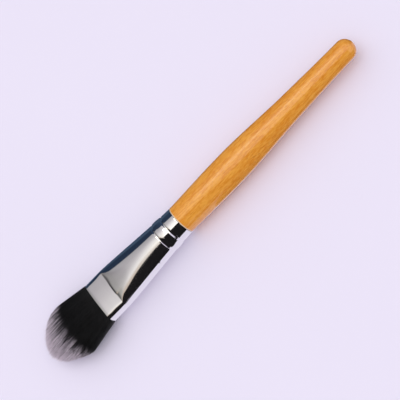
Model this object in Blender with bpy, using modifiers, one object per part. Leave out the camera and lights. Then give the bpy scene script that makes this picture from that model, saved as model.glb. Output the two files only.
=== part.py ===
"""Facial mask brush: a turned bamboo handle, a pressed metal ferrule and a flat, domed tuft.

The brush lies along X with its bristles towards -X, its butt towards +X and the ferrule's
pressed pads facing +Z and -Z. Places along the brush are measured from the joint, where the
ferrule's rim meets the handle's shoulder: positive in the handle, negative in the ferrule.
The origin of the world lies under the middle of the brush, level with the lowest point of
its round part. All sizes are in metres.
"""

import math
import random

import bmesh
import bpy
from mathutils import Vector
from mathutils.geometry import interpolate_bezier

# Fits
SEAT_GAP = 0.0003
WELD_DISTANCE = 0.00001

# Handle
HANDLE_LENGTH = 0.0933
NECK_ROUNDING = 0.0004
BELLY_DIAMETER = 0.0133
BELLY_PLACE = 0.0271
WAIST_DIAMETER = 0.0102
WAIST_PLACE = 0.0605
BUTT_DIAMETER = 0.0086
BUTT_ROUNDING = 0.0040
TENON_LENGTH = 0.0140
TENON_TIP_LENGTH = 0.0035
TENON_TIP_DIAMETER = 0.0086
HANDLE_SIDES = 36
BEZIER_POINTS = 8
BUTT_POINTS = 6
NECK_POINTS = 3
CURVE_REACH_SHARE = 0.36

# Ferrule
FERRULE_LENGTH = 0.0464
FERRULE_WALL = 0.00045
RIM_DIAMETER = 0.0124
CONE_DIAMETER = 0.0135
COLLAR_LENGTH = 0.0054
BAND_LENGTH = 0.00475
BAND_CROWN = 0.00012
CRIMP_WIDTH = 0.0011
CRIMP_DEPTH = 0.0004
MOUTH_WIDTH = 0.0186
ARCH_THICKNESS = 0.0079
PAD_THICKNESS = 0.0066
PAD_LENGTH = 0.0080
SHOULDER_SLOPE = 0.85
SHOULDER_MIN_RUN = 0.00015
EDGE_ROUNDING = 0.0001
ROUND_POWER = 2.0
ARCH_POWER = 3.2
FLATTEN_POWER = 1.9
SIDE_STEPS = 5
TOP_STEPS = 5
CRIMP_STEPS = 4
TAPER_STEPS = 11

# Glue
ROOT_BLOCK_LENGTH = 0.0120
POOL_DEPTH = 0.0025
POOL_RIM_LENGTH = 0.0030
POOL_SIDES = 28

# Bristles
BRISTLE_LENGTH = 0.0303
TUFT_WIDTH = 0.0244
TUFT_THICKNESS = 0.0078
WIDEST_PLACE = 0.0155
SWELL_REACH = 0.0009
SWELL_WIDTH = 0.0008
SWELL_THICKNESS = 0.0002
SLICE_RECESS = 0.0002
SLICE_THICKNESS = 0.0020
STRAND_COLUMNS = 30
STRAND_ROWS = 7
STRAND_SPACING = 0.0001
TIP_JITTER = 0.0012
SLICE_WIDTH_SHARE = 0.94
DOME_THICKNESS_SHARE = 0.6
STRAND_TIP_SHARE = 0.4
BRISTLE_SEED = 7

# Angles
HALF_TURN = math.pi
QUARTER_TURN = math.pi / 2
ROUNDED_EDGE_ANGLE = math.radians(70)
SHARP_EDGE_ANGLE = math.radians(25)
STRAND_EDGE_ANGLE = math.radians(50)

# Places along the brush
CRIMPS = (-COLLAR_LENGTH, -(COLLAR_LENGTH + BAND_LENGTH))
TAPER_START = CRIMPS[1] - CRIMP_WIDTH / 2
MOUTH = -FERRULE_LENGTH
CREASE = MOUTH + PAD_LENGTH
SLICE_FRONT = MOUTH + SLICE_RECESS
SLICE_BACK = SLICE_FRONT + SLICE_THICKNESS
ROOT_BLOCK_FRONT = SLICE_BACK + SEAT_GAP
TIP = MOUTH - BRISTLE_LENGTH

# Half sizes that several pieces share
RIM_RADIUS = RIM_DIAMETER / 2
CONE_RADIUS = CONE_DIAMETER / 2
MOUTH_HALF_WIDTH = MOUTH_WIDTH / 2
ARCH_HALF = ARCH_THICKNESS / 2
PAD_HALF = PAD_THICKNESS / 2
INNER_FIT = FERRULE_WALL + SEAT_GAP
TENON_RADIUS = RIM_RADIUS - INNER_FIT
TENON_TIP_RADIUS = TENON_TIP_DIAMETER / 2

# Colours, roughness and metallic value of each finish
FINISHES = {
    "lacquered_bamboo": ((0.72, 0.36, 0.09, 1.0), 0.32, 0.0),
    "polished_plate": ((0.86, 0.86, 0.88, 1.0), 0.08, 1.0),
    "dyed_bristle": ((0.02, 0.02, 0.024, 1.0), 0.45, 0.0),
    "root_glue": ((0.55, 0.42, 0.20, 1.0), 0.40, 0.0),
    "wood_glue": ((0.75, 0.70, 0.55, 1.0), 0.50, 0.0),
}


def clear_scene():
    """Removes whatever objects the open file holds."""
    for old in list(bpy.data.objects):
        bpy.data.objects.remove(old, do_unlink=True)


def finish(name):
    """Makes the material of one finish."""
    colour, roughness, metallic = FINISHES[name]
    material = bpy.data.materials.new(name)
    material.use_nodes = True
    shader = material.node_tree.nodes["Principled BSDF"]
    shader.inputs["Base Color"].default_value = colour
    shader.inputs["Roughness"].default_value = roughness
    shader.inputs["Metallic"].default_value = metallic
    material.diffuse_color = colour
    return material


def add_piece(name, build, material, parent, collection):
    """Turns a bmesh into a named object under the brush's axis."""
    mesh = bpy.data.meshes.new(name)
    build.to_mesh(mesh)
    build.free()
    mesh.materials.append(material)
    piece = bpy.data.objects.new(name, mesh)
    piece.parent = parent
    collection.objects.link(piece)
    return piece


def shade_round(piece, sharp_angle):
    """Shades a curved piece smooth, with edges steeper than the angle left sharp."""
    piece.data.shade_smooth()
    piece.data.set_sharp_from_angle(angle=sharp_angle)


def turned_piece(name, profile, sides, material, parent, collection):
    """Turns a profile of (radius, place) pairs, which runs from +X to -X down its outside."""
    build = bmesh.new()
    points = [build.verts.new((radius, 0, place)) for radius, place in profile]
    for upper, lower in zip(points, points[1:]):
        build.edges.new((upper, lower))
    piece = add_piece(name, build, material, parent, collection)
    piece.rotation_euler = (0, QUARTER_TURN, 0)
    turn = piece.modifiers.new("turn", "SCREW")
    turn.axis = "Z"
    turn.angle = 2 * HALF_TURN
    turn.steps = sides
    turn.render_steps = sides
    turn.use_merge_vertices = True
    turn.merge_threshold = WELD_DISTANCE
    turn.use_smooth_shade = True
    return piece


# The ferrule's shape, which the tenon and the glue follow inside it

def cone_radius(place):
    """Outer radius of the round part, which widens from the rim to the start of the taper."""
    return RIM_RADIUS + (CONE_RADIUS - RIM_RADIUS) * place / TAPER_START


def crimp_dip(place):
    """Depth of the rolled crimps at a place, zero away from them."""
    for crimp in CRIMPS:
        away = abs(place - crimp) / (CRIMP_WIDTH / 2)
        if away < 1:
            return CRIMP_DEPTH * (1 + math.cos(HALF_TURN * away)) / 2
    return 0


def band_crown(place):
    """Height of the slight barrel that rolling leaves between the two crimps."""
    away = abs(place - (CRIMPS[0] + CRIMPS[1]) / 2) / (BAND_LENGTH / 2)
    return BAND_CROWN * max(0, 1 - away * away)


def section_sizes(place):
    """Half width, half height and power of the superellipse that the tube has at a place."""
    if place >= TAPER_START:
        radius = cone_radius(place) - crimp_dip(place) + band_crown(place)
        return radius, radius, ROUND_POWER
    along = min(1, (TAPER_START - place) / (TAPER_START - CREASE))
    flat = along ** FLATTEN_POWER
    half_width = CONE_RADIUS + (MOUTH_HALF_WIDTH - CONE_RADIUS) * along
    half_height = CONE_RADIUS + (ARCH_HALF - CONE_RADIUS) * flat
    power = ROUND_POWER + (ARCH_POWER - ROUND_POWER) * flat
    return half_width, half_height, power


def section_point(place, angle, inset):
    """Point on the tube's section at an angle, moved in from the outside by the inset."""
    half_width, half_height, power = section_sizes(place)
    across, up = math.cos(angle), math.sin(angle)
    y = math.copysign((half_width - inset) * abs(across) ** (2 / power), across)
    z = math.copysign((half_height - inset) * abs(up) ** (2 / power), up)
    return Vector((place, y, z))


def pressed(point, limit):
    """The point with its height held under a pressed flat."""
    return Vector((point.x, point.y, max(-limit, min(limit, point.z))))


def section_angles():
    """Angles round a section, with one of them exactly at each edge of the pressed pads."""
    edge = math.asin((PAD_HALF / ARCH_HALF) ** (ARCH_POWER / 2))
    side = [edge * step / SIDE_STEPS for step in range(SIDE_STEPS)]
    top = [edge + (QUARTER_TURN - edge) * step / TOP_STEPS for step in range(TOP_STEPS)]
    quarter = side + top
    half = quarter + [HALF_TURN - angle for angle in reversed(quarter[1:] + [QUARTER_TURN])]
    return half + [HALF_TURN + angle for angle in half]


def shoulder_rise():
    """Height of the arch over the pressed pad along the middle of the crease."""
    return ARCH_HALF - PAD_HALF


def shoulder_ring(angles):
    """Upper edge of the shoulder, which is a lens in plan because the tube's arch is."""
    ring = []
    for angle in angles:
        height = abs(section_point(CREASE, angle, 0).z) - PAD_HALF
        run = max(SHOULDER_MIN_RUN, height / SHOULDER_SLOPE)
        ring.append(section_point(CREASE + run, angle, 0))
    return ring


def loft(build, rings):
    """Joins a row of equal rings of points with quads and gives back the rings' vertices."""
    loops = [[build.verts.new(point) for point in ring] for ring in rings]
    for near, far in zip(loops, loops[1:]):
        for index, corner in enumerate(near):
            after = (index + 1) % len(near)
            build.faces.new((corner, near[after], far[after], far[index]))
    return loops


def closed_loft(rings):
    """A loft with both of its ends filled and its faces pointing out."""
    build = bmesh.new()
    loops = loft(build, rings)
    build.faces.new(loops[0])
    build.faces.new(loops[-1])
    bmesh.ops.recalc_face_normals(build, faces=build.faces)
    return build


# Pieces

def bezier_span(start, start_slope, end, end_slope):
    """Points of one smooth stretch of the handle, from its start up to but not at its end."""
    reach = (end[0] - start[0]) * CURVE_REACH_SHARE
    knots = (
        Vector((start[0], start[1], 0)),
        Vector((start[0] + reach, start[1] + reach * start_slope, 0)),
        Vector((end[0] - reach, end[1] - reach * end_slope, 0)),
        Vector((end[0], end[1], 0)),
    )
    return [(point.y, point.x) for point in interpolate_bezier(*knots, BEZIER_POINTS)][:-1]


def handle_body_profile():
    """Outline of the visible wood from the shoulder to the butt, as (radius, place) pairs."""
    neck = (NECK_ROUNDING, RIM_RADIUS)
    belly = (BELLY_PLACE, BELLY_DIAMETER / 2)
    waist = (WAIST_PLACE, WAIST_DIAMETER / 2)
    butt = (HANDLE_LENGTH - BUTT_ROUNDING, BUTT_DIAMETER / 2)
    neck_slope = (belly[1] - neck[1]) / (belly[0] - neck[0])
    waist_slope = (butt[1] - belly[1]) / (butt[0] - belly[0])
    butt_slope = (butt[1] - waist[1]) / (butt[0] - waist[0]) / 2
    outline = []
    for step in range(NECK_POINTS):
        turn = QUARTER_TURN * step / NECK_POINTS
        radius = RIM_RADIUS - NECK_ROUNDING * (1 - math.sin(turn))
        outline.append((radius, NECK_ROUNDING * (1 - math.cos(turn))))
    outline += bezier_span(neck, neck_slope, belly, 0)
    outline += bezier_span(belly, 0, waist, waist_slope)
    outline += bezier_span(waist, waist_slope, butt, butt_slope)
    for step in range(BUTT_POINTS + 1):
        turn = QUARTER_TURN * step / BUTT_POINTS
        outline.append((butt[1] * math.cos(turn), butt[0] + BUTT_ROUNDING * math.sin(turn)))
    outline[-1] = (0, HANDLE_LENGTH)
    return outline


def tenon_radius(place):
    """The tenon is a plain peg, drawn in where a crimp bites and at its tapered tip."""
    into_tip = max(0, TENON_TIP_LENGTH - (TENON_LENGTH + place)) / TENON_TIP_LENGTH
    peg = TENON_RADIUS - (TENON_RADIUS - TENON_TIP_RADIUS) * into_tip
    return min(peg, section_sizes(place)[1] - INNER_FIT)


def tenon_profile():
    """Outline of the tenon from the shoulder to the middle of its end."""
    places = [0]
    for crimp in CRIMPS:
        places += [crimp + CRIMP_WIDTH, crimp + CRIMP_WIDTH / 2, crimp]
        places += [crimp - CRIMP_WIDTH / 2, crimp - CRIMP_WIDTH]
    places = [place for place in places if place > -(TENON_LENGTH - TENON_TIP_LENGTH)]
    places += [-(TENON_LENGTH - TENON_TIP_LENGTH), -TENON_LENGTH]
    return [(tenon_radius(place), place) for place in places] + [(0, -TENON_LENGTH)]


def make_handle(parent, collection):
    """The bamboo handle, turned in one piece with the tenon that the ferrule grips."""
    profile = list(reversed(handle_body_profile())) + tenon_profile()
    return turned_piece("handle", profile, HANDLE_SIDES, finish("lacquered_bamboo"), parent, collection)


def ferrule_places():
    """Places of the plain rings, from the rim to the end of the taper."""
    places = [-SEAT_GAP, CRIMPS[0] / 2]
    for crimp in CRIMPS:
        for step in range(CRIMP_STEPS + 1):
            places.append(crimp + CRIMP_WIDTH * (1 / 2 - step / CRIMP_STEPS))
        if crimp == CRIMPS[0]:
            places.append((CRIMPS[0] + CRIMPS[1]) / 2)
    shoulder_start = CREASE + 2 * shoulder_rise() / SHOULDER_SLOPE
    for step in range(1, TAPER_STEPS + 1):
        places.append(TAPER_START + (shoulder_start - TAPER_START) * step / TAPER_STEPS)
    return places


def make_ferrule(parent, collection):
    """The drawn tube: round collar and crimps, then a taper that ends in two pressed pads."""
    angles = section_angles()
    rings = [[section_point(place, angle, 0) for angle in angles] for place in ferrule_places()]
    rings.append(shoulder_ring(angles))
    for place in (CREASE, (CREASE + MOUTH) / 2, MOUTH):
        rings.append([pressed(section_point(place, angle, 0), PAD_HALF) for angle in angles])
    build = bmesh.new()
    loft(build, rings)
    bmesh.ops.recalc_face_normals(build, faces=build.faces)
    ferrule = add_piece("ferrule", build, finish("polished_plate"), parent, collection)
    wall = ferrule.modifiers.new("wall", "SOLIDIFY")
    wall.thickness = FERRULE_WALL
    wall.offset = -1
    wall.use_even_offset = True
    edges = ferrule.modifiers.new("edges", "BEVEL")
    edges.width = EDGE_ROUNDING
    edges.segments = 1
    edges.limit_method = "ANGLE"
    edges.angle_limit = ROUNDED_EDGE_ANGLE
    shade_round(ferrule, SHARP_EDGE_ANGLE)
    return ferrule


def make_root_block(parent, collection):
    """The block of glue behind the bristles, which fills the mouth and swells past the crease."""
    angles = section_angles()
    flat = PAD_HALF - INNER_FIT
    swell_start = CREASE + SEAT_GAP
    swell_end = swell_start + shoulder_rise() / SHOULDER_SLOPE
    back = ROOT_BLOCK_FRONT + ROOT_BLOCK_LENGTH
    limits = {ROOT_BLOCK_FRONT: flat, swell_start: flat, swell_end: flat + shoulder_rise()}
    rings = []
    for place, limit in limits.items():
        rings.append([pressed(section_point(place, angle, INNER_FIT), limit) for angle in angles])
    rings.append([section_point(back, angle, INNER_FIT) for angle in angles])
    block = add_piece("epoxy_plug", closed_loft(rings), finish("root_glue"), parent, collection)
    shade_round(block, SHARP_EDGE_ANGLE)
    return block


def make_tenon_glue(parent, collection):
    """The cup of glue that the tapered tip of the tenon squeezes out inside the ferrule."""
    rim = -(TENON_LENGTH - POOL_RIM_LENGTH)
    floor = -(TENON_LENGTH + SEAT_GAP)
    base = floor - POOL_DEPTH
    profile = [(tenon_radius(rim) + SEAT_GAP, rim)]
    for place in (rim, (rim + base) / 2, base):
        profile.append((section_sizes(place)[1] - INNER_FIT, place))
    profile += [(0, base), (0, floor), (tenon_radius(-TENON_LENGTH) + SEAT_GAP, floor)]
    profile.append(profile[0])
    return turned_piece("tenon_adhesive", profile, POOL_SIDES, finish("wood_glue"), parent, collection)


# Tuft

def slice_half_thickness(across):
    """Half thickness that the glue slice may have at a distance from the middle of the mouth."""
    half_width, half_height, power = section_sizes(MOUTH)
    aside = min(1, abs(across) / (half_width - INNER_FIT))
    arch = (half_height - INNER_FIT) * (1 - aside ** power) ** (1 / power)
    return min(arch, PAD_HALF - INNER_FIT)


def slice_half_width():
    """Half width of the slice, which stops short of the mouth's round ends."""
    return (section_sizes(MOUTH)[0] - INNER_FIT) * SLICE_WIDTH_SHARE


def strand_length(across, up, jitter):
    """How far from the mouth a strand ends, on a dome over the widest part of the tuft."""
    aside = across / slice_half_width()
    above = up / slice_half_thickness(0)
    left = max(0, 1 - aside ** 2 - DOME_THICKNESS_SHARE * above ** 2)
    dome = (BRISTLE_LENGTH - WIDEST_PLACE) * math.sqrt(left)
    return WIDEST_PLACE + dome - TIP_JITTER * jitter * (1 - left / 2)


def strand_spread(distance):
    """How much wider and thicker the tuft is at a distance from the mouth than in the slice."""
    along = (distance - SWELL_REACH) / (WIDEST_PLACE - SWELL_REACH)
    width = MOUTH_WIDTH + SWELL_WIDTH
    width += (TUFT_WIDTH - width) * along
    thickness = PAD_THICKNESS + SWELL_THICKNESS
    thickness += (TUFT_THICKNESS - thickness) * along
    return width / 2 / slice_half_width(), thickness / 2 / slice_half_thickness(0)


def place_strand_end(face, distance, base, size_share):
    """Moves one end of a strand to its distance, spread from its root and drawn to its size."""
    wide, thick = strand_spread(distance)
    middle = face.calc_center_median()
    for corner in face.verts:
        aside = (corner.co.y - middle.y) * size_share
        above = (corner.co.z - middle.z) * size_share
        corner.co = Vector((MOUTH - distance, base.y * wide + aside, base.z * thick + above))


def make_tuft(parent, collection):
    """The bristles, three-sided strands that stand on the slice of glue that binds them."""
    build = bmesh.new()
    bmesh.ops.create_grid(build, x_segments=STRAND_COLUMNS, y_segments=STRAND_ROWS, size=1)
    for corner in build.verts:
        across = corner.co.x * slice_half_width()
        corner.co = Vector((SLICE_FRONT, across, corner.co.y * slice_half_thickness(across)))
    cells = bmesh.ops.triangulate(build, faces=build.faces)["faces"]
    back = bmesh.ops.extrude_face_region(build, geom=cells, use_keep_orig=True)["geom"]
    corners = [part for part in back if isinstance(part, bmesh.types.BMVert)]
    bmesh.ops.translate(build, verts=corners, vec=Vector((SLICE_THICKNESS, 0, 0)))
    bmesh.ops.recalc_face_normals(build, faces=build.faces)
    bmesh.ops.inset_individual(build, faces=cells, thickness=STRAND_SPACING / 2, use_even_offset=True)
    roots = [cell.calc_center_median() for cell in cells]
    draw = random.Random(BRISTLE_SEED)
    strands = bmesh.ops.extrude_discrete_faces(build, faces=cells)["faces"]
    for strand, root in zip(strands, roots):
        place_strand_end(strand, SWELL_REACH, root, 1)
    strands = bmesh.ops.extrude_discrete_faces(build, faces=strands)["faces"]
    for strand, root in zip(strands, roots):
        length = strand_length(root.y, root.z, draw.random())
        place_strand_end(strand, length, root, STRAND_TIP_SHARE)
    tuft = add_piece("bristle_tuft", build, finish("dyed_bristle"), parent, collection)
    shade_round(tuft, STRAND_EDGE_ANGLE)
    return tuft


def main():
    """Builds the brush under one empty that lies on its axis at the joint."""
    clear_scene()
    collection = bpy.data.collections.new("facial_mask_brush")
    bpy.context.scene.collection.children.link(collection)
    axis = bpy.data.objects.new("brush_axis", None)
    axis.empty_display_size = BELLY_DIAMETER
    collection.objects.link(axis)
    lowest = max(BELLY_DIAMETER, CONE_DIAMETER) / 2
    axis.location = (-(HANDLE_LENGTH + TIP) / 2, 0, lowest)
    make_handle(axis, collection)
    make_ferrule(axis, collection)
    make_root_block(axis, collection)
    make_tenon_glue(axis, collection)
    make_tuft(axis, collection)


if __name__ == "__main__":
    main()
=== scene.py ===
"""Facial mask brush: fine turned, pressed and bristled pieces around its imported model.

The file is laid out as a Blender add-on and is run as a script. The brush lies along X with
its bristles towards -X. Places along it are measured from the joint between ferrule and
handle, positive in the handle and negative in the ferrule and the bristles.
"""

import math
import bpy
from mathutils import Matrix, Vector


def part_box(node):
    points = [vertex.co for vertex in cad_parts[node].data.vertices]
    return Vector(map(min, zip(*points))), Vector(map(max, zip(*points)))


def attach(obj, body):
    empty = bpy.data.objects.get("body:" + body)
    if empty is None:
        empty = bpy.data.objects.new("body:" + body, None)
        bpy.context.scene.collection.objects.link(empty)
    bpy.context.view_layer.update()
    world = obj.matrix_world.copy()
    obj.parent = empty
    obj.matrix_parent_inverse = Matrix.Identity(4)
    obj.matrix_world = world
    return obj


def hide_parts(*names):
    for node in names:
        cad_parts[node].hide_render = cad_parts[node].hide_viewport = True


bl_info = {
    "name": "Facial Mask Brush",
    "version": (1, 0, 0),
    "blender": (4, 5, 0),
    "location": "3D View > Sidebar > Mask Brush",
    "description": "Turns the handle, presses the ferrule and sets the bristles of a mask brush",
    "category": "Add Mesh",
}

import bmesh
import bpy
from bpy.props import FloatProperty, FloatVectorProperty, IntProperty, PointerProperty
from bpy.types import Operator, Panel, PropertyGroup
from mathutils import Matrix, Vector
from mathutils.geometry import interpolate_bezier

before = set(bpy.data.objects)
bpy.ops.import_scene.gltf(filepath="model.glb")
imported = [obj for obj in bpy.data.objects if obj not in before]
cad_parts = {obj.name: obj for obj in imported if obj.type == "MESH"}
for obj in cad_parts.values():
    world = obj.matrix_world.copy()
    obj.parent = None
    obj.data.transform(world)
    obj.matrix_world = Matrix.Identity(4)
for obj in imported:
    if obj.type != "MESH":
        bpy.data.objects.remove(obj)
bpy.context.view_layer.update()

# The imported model's box and the places that the pieces take from it
BODY = "root"
SEAT_GAP = 0.0003
HANDLE_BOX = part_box("handle")
FERRULE_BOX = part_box("ferrule")
TUFT_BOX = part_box("bristle_tuft")
JOINT = FERRULE_BOX[1].x + SEAT_GAP
AXIS_HEIGHT = (FERRULE_BOX[0].z + FERRULE_BOX[1].z) / 2

QUARTER_TURN = math.pi / 2
UV_LAYER = "OFBake"


# Node trees

def both_ways(operation):
    """An operator and its reflected form, each of which adds one Math node."""
    def plain(wire, other):
        return wire.graph.maths(operation, wire, other)

    def reflected(wire, other):
        return wire.graph.maths(operation, other, wire)

    return plain, reflected


class Wire:
    """An output of a node, on which arithmetic adds Math nodes."""

    def __init__(self, graph, socket):
        self.graph = graph
        self.socket = socket

    __add__, __radd__ = both_ways("ADD")
    __sub__, __rsub__ = both_ways("SUBTRACT")
    __mul__, __rmul__ = both_ways("MULTIPLY")
    __truediv__, __rtruediv__ = both_ways("DIVIDE")
    __pow__, __rpow__ = both_ways("POWER")


class Graph:
    """One node tree, to which nodes are added by type, settings and sockets."""

    def __init__(self, tree):
        self.tree = tree

    def node(self, kind, settings=None, sockets=None):
        """Adds a node: its settings first, then the values or wires of its sockets."""
        node = self.tree.nodes.new(kind)
        for name, value in (settings or {}).items():
            if name == "stops":
                self.set_stops(node.color_ramp, value)
            else:
                setattr(node, name, value)
        for name, value in (sockets or {}).items():
            if isinstance(value, Wire):
                self.tree.links.new(value.socket, node.inputs[name])
            else:
                node.inputs[name].default_value = value
        return node

    def add(self, kind, settings=None, sockets=None, output=0):
        """Adds a node and gives back one of its outputs."""
        return Wire(self, self.node(kind, settings, sockets).outputs[output])

    def set_stops(self, ramp, stops):
        """Gives a colour ramp its stops, as (place, colour) pairs."""
        while len(ramp.elements) < len(stops):
            ramp.elements.new(1)
        for element, (place, colour) in zip(ramp.elements, stops):
            element.position = place
            element.color = (*colour, 1)

    def maths(self, operation, *values):
        return self.add("ShaderNodeMath", {"operation": operation}, dict(enumerate(values)))

    def limited(self, value):
        """A value held between 0 and 1."""
        return self.add("ShaderNodeClamp", None, {"Value": value})

    def eased(self, value, low, high):
        """A smooth step from 0 at the low value to 1 at the high one."""
        settings = {"interpolation_type": "SMOOTHSTEP"}
        sockets = {"Value": value, "From Min": low, "From Max": high}
        return self.add("ShaderNodeMapRange", settings, sockets)

    def blended(self, factor, low, high):
        """A colour between two colours."""
        settings = {"data_type": "RGBA"}
        return self.add("ShaderNodeMix", settings, {0: factor, 6: low, 7: high}, 2)

    def vector(self, x, y, z):
        return self.add("ShaderNodeCombineXYZ", None, {0: x, 1: y, 2: z})

    def parts(self, vector):
        """The three numbers of a vector."""
        node = self.node("ShaderNodeSeparateXYZ", None, {0: vector})
        return [Wire(self, output) for output in node.outputs]

    def noise(self, vector, scale, detail=2.0, roughness=0.5):
        """Smooth noise from 0 to 1 at places of a vector."""
        sockets = {"Vector": vector, "Scale": scale, "Detail": detail, "Roughness": roughness}
        return self.add("ShaderNodeTexNoise", None, sockets, "Fac")

    def place(self):
        """Places on a piece, in metres."""
        return self.add("ShaderNodeTexCoord", None, None, "Object")

    def grain(self, along, across, detail, roughness):
        """Noise over a piece, scaled along the brush and across it."""
        sockets = {"Vector": self.place(), "Scale": (along, across, across)}
        return self.noise(self.add("ShaderNodeMapping", None, sockets), 1, detail, roughness)

    def relief(self, height, strength, distance):
        """A normal bent by a height over the surface."""
        sockets = {"Strength": strength, "Distance": distance, "Height": height}
        return self.add("ShaderNodeBump", None, sockets)


def new_material(name):
    """A material with an empty tree, and its graph."""
    material = bpy.data.materials.new(name)
    material.use_nodes = True
    material.node_tree.nodes.clear()
    return material, Graph(material.node_tree)


def show_surface(graph, sockets):
    """Ends a material's graph in a Principled shader with these sockets."""
    shader = graph.add("ShaderNodeBsdfPrincipled", None, sockets)
    graph.node("ShaderNodeOutputMaterial", None, {"Surface": shader})


# Noise values between which the wood turns light, a fibre bundle starts and bundles gather, and
# the places between which the painted highlight along the joint's rounded edge ends
WOOD_CONTRAST = (0.38, 0.62)
BUNDLE_LIMITS = (0.60, 0.72)
GATHER_LIMITS = (0.38, 0.6)
JOINT_HIGHLIGHT_SPAN = (JOINT + 0.0003, JOINT + 0.0005)
BUNDLE_COVER = 0.5
# Share of cream in the painted highlight at the joint
JOINT_HIGHLIGHT_COVER = 0.85


def bamboo(sizes):
    """Lacquered bamboo: amber wood with lengthwise fibres and short dark bundles of them."""
    material, graph = new_material("lacquered_bamboo")
    broad = graph.grain(40, 380, 3, 0.55)
    fine = graph.grain(180, 2400, 3, 0.6)
    dashes = graph.grain(420, 3000, 1, 0.4)
    patches = graph.grain(60, 160, 2, 0.5)
    mottle = graph.grain(420, 1200, 2, 0.6)
    mixed = broad * 0.3 + fine * 0.35 + mottle * 0.35
    wood = graph.blended(graph.eased(mixed, *WOOD_CONTRAST), sizes.deep_wood, sizes.light_wood)
    mark = graph.eased(dashes, *BUNDLE_LIMITS) * graph.eased(patches, *GATHER_LIMITS) * BUNDLE_COVER
    wood = graph.blended(mark, wood, sizes.fibre_bundle)
    along, _, _ = graph.parts(graph.place())
    # Painted highlight: the wood turns cream near the joint, along its rounded edge
    highlit = 1 - graph.eased(along, *JOINT_HIGHLIGHT_SPAN)
    show_surface(graph, {
        "Base Color": graph.blended(highlit * JOINT_HIGHLIGHT_COVER, wood, sizes.cut_wood),
        "Roughness": 0.42 + fine * 0.12,
        "Normal": graph.relief(fine * 0.6 - mark * 0.4 + broad * 0.3, 0.25, 0.00004),
        "Coat Weight": 0.85 + broad * 0.2,
        "Coat Roughness": 0.15,
        "Coat IOR": 1.65,
        "Specular IOR Level": 0.1,
    })
    return material


def plate(sizes):
    """Bright plating with the faint haze and fine marks of handling."""
    material, graph = new_material("polished_plate")
    haze = graph.grain(220, 220, 3, 0.5)
    marks = graph.grain(3000, 260, 2, 0.5)
    show_surface(graph, {
        "Base Color": graph.blended(haze, sizes.plate_shade, sizes.plate_colour),
        "Metallic": 1.0,
        "Roughness": sizes.plate_roughness + haze * 0.04 + graph.eased(marks, 0.6, 0.75) * 0.03,
        "Normal": graph.relief(marks * 0.5 + haze, 0.06, 0.00002),
    })
    return material


def resin(name, colour, shade, roughness):
    """Hardened glue, mottled by small bubbles."""
    material, graph = new_material(name)
    cloud = graph.grain(500, 500, 3, 0.6)
    bubbles = graph.grain(3200, 3200, 1, 0.5)
    show_surface(graph, {
        "Base Color": graph.blended(graph.eased(cloud, 0.3, 0.7), shade, colour),
        "Roughness": roughness + bubbles * 0.2,
        "Normal": graph.relief(bubbles, 0.4, 0.00005),
    })
    return material


# Pieces

def metres(name, description, default, least=0.00001):
    """A length in metres that a user can change."""
    return FloatProperty(
        name=name, description=description, default=default, min=least, unit="LENGTH", precision=5)


def number(name, description, default, least, most, subtype="NONE"):
    """A plain number that a user can change, or a share as a FACTOR."""
    return FloatProperty(
        name=name, description=description, default=default, min=least, max=most, subtype=subtype)


def tint(name, description, colour):
    """A solid colour that a user can change."""
    return FloatVectorProperty(
        name=name, description=description, default=(*colour, 1.0), size=4, subtype="COLOR",
        min=0, max=1)


def linked(name, data):
    """A new object in the scene."""
    thing = bpy.data.objects.new(name, data)
    bpy.context.scene.collection.objects.link(thing)
    return thing


def add_piece(name, mesh, material, slot, *nodes):
    """Links a finished mesh as a piece that rides on the brush and stands for CAD nodes."""
    piece = linked(name, mesh)
    mesh.materials.clear()
    mesh.materials.append(material)
    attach(piece, BODY)
    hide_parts(*nodes)


def built_mesh(name, build):
    """The mesh of what was built, with its faces outward."""
    bmesh.ops.recalc_face_normals(build, faces=build.faces)
    mesh = bpy.data.meshes.new(name)
    build.to_mesh(mesh)
    build.free()
    return mesh


def plain_mesh(name, piece):
    """The piece's shape with its modifiers applied, as a mesh of that name."""
    depsgraph = bpy.context.evaluated_depsgraph_get()
    mesh = bpy.data.meshes.new_from_object(piece.evaluated_get(depsgraph))
    mesh.name = name
    bpy.data.objects.remove(piece, do_unlink=True)
    return mesh


def loft(build, rings):
    """Joins equal rings of points with quads and gives back their vertices."""
    loops = [[build.verts.new(point) for point in ring] for ring in rings]
    for near, far in zip(loops, loops[1:]):
        for index, corner in enumerate(near):
            after = (index + 1) % len(near)
            build.faces.new((corner, near[after], far[after], far[index]))
    return loops


def on_brush(place, y, z):
    """A point at a place along the brush, with y and z measured from its axis."""
    return Vector((JOINT + place, y, AXIS_HEIGHT + z))


# Handle

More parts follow.
